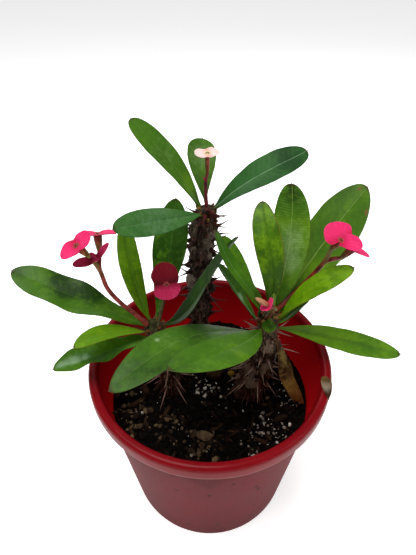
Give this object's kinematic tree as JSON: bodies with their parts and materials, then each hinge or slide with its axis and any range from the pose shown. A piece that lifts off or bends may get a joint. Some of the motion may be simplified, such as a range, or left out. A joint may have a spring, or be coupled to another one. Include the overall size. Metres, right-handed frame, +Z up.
{
  "type": "potted crown of thorns plant",
  "caption": "Thorny succulent with long oval leaves and small pink two-bract flowers on branching stalks, standing in soil in a round nursery pot with a hollow rolled rim.",
  "frame": {"origin": "centre of the pot's flat base", "axes": "+Z up, -Y towards the front of the plant, +X to its right"},
  "size_m": [0.2065, 0.14, 0.234],
  "materials": {
    "pot_plastic": "smooth red plastic with a soft shine",
    "potting_soil": "loose dark potting soil, matte",
    "bark_chips": "rough dry bark",
    "pebble_stone": "yellow-brown pebble",
    "leaf_green": "fleshy leaf, satin",
    "leaf_blue": "blue-green leaf, satin",
    "leaf_young": "young yellow-green leaf, satin",
    "leaf_deep": "dark green leaf, satin",
    "leaf_dry": "dry brown leaf, matte",
    "bract_pale": "velvety pale pink bract",
    "bract_pink": "velvety pink bract",
    "flower_stalk": "red-brown stalk, satin",
    "thorny_stem": "grey-brown bark with thorns"
  },
  "bodies": {
    "root": {"pot": "pot_plastic", "soil": "potting_soil", "bark_dark": "bark_chips", "bark_tan": "bark_chips", "pebble": "pebble_stone", "leaf_middle_up_left": "leaf_green", "leaf_middle_up_back": "leaf_green", "leaf_middle_up_right": "leaf_blue", "leaf_middle_front": "leaf_blue", "leaf_left_long": "leaf_green", "leaf_left_young": "leaf_young", "leaf_left_folded": "leaf_deep", "leaf_left_upright": "leaf_young", "leaf_left_back": "leaf_deep", "leaf_left_cross": "leaf_deep", "leaf_right_far_left": "leaf_green", "leaf_right_near_left": "leaf_green", "leaf_right_right": "leaf_green", "leaf_right_light_upright": "leaf_young", "leaf_right_ribbed_upright": "leaf_green", "leaf_right_broad_back": "leaf_green", "leaf_right_light_right": "leaf_young", "leaf_right_small_right": "leaf_deep", "leaf_right_narrow": "leaf_deep", "leaf_right_pale_back": "leaf_deep", "leaf_right_glossy": "leaf_deep", "leaf_right_small_front": "leaf_green", "leaf_right_sprout": "leaf_young", "leaf_right_dried": "leaf_dry", "leaf_scrap": "leaf_dry", "bloom_top": "bract_pale", "bloom_left_side": "bract_pink", "bloom_left_top": "bract_pink", "bloom_middle": "bract_pink", "bloom_right_big": "bract_pink", "bloom_right_small": "bract_pink", "bloom_right_bud": "bract_pink", "stalk_top": "flower_stalk", "stalk_left": "flower_stalk", "stalk_middle": "flower_stalk", "stalk_right": "flower_stalk", "stalk_bud": "flower_stalk", "stem_middle": "thorny_stem", "stem_left": "thorny_stem", "stem_right": "thorny_stem"}
  },
  "joints": []
}
